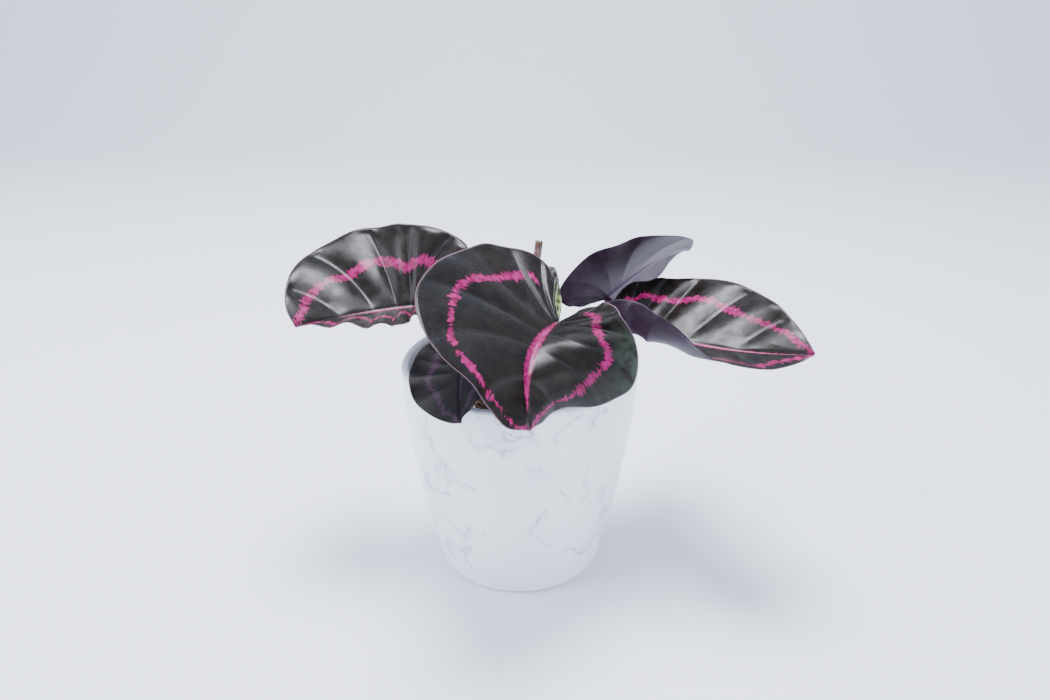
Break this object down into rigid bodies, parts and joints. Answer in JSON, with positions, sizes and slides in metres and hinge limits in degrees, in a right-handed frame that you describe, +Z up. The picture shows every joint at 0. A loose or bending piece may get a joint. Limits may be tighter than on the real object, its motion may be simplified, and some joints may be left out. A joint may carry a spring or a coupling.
{
  "type": "potted calathea",
  "caption": "Young rose-painted calathea with broad dark leaves ringed in pink, rooted in a nursery pot that stands inside a tapered marbled cover pot.",
  "frame": {"origin": "centre of the cover pot's flat underside, on the pot's axis", "axes": "+Z up along the pot's axis, +X to the right along the longest reach from leaf tip to leaf tip, -Y towards the side the large front leaf faces"},
  "size_m": [0.2639, 0.1828, 0.1815],
  "materials": {
    "marbled_ceramic": "satin white glaze with fine grey-blue marbling",
    "black_plastic": "moulded, matt",
    "potting_mix": "loose peat and bark, dull",
    "crown": "fibrous, dull",
    "leaf_blade": "dark satin with a feathered pink ring and midrib above, purple below",
    "leaf_stalk": "smooth, dark purple-red",
    "cut_stalk": "drying, pink-purple with green streaks and a brown end"
  },
  "bodies": {
    "root": {"cover_pot": "marbled_ceramic", "nursery_pot": "black_plastic", "potting_mix": "potting_mix", "crown": "crown", "front_leaf": "leaf_blade", "front_stem": "leaf_stalk", "left_leaf": "leaf_blade", "left_stem": "leaf_stalk", "right_leaf": "leaf_blade", "right_stem": "leaf_stalk", "back_leaf": "leaf_blade", "back_stem": "leaf_stalk", "rear_leaf": "leaf_blade", "rear_stem": "leaf_stalk", "small_leaf": "leaf_blade", "small_stem": "leaf_stalk", "cut_stem": "cut_stalk"}
  },
  "joints": []
}
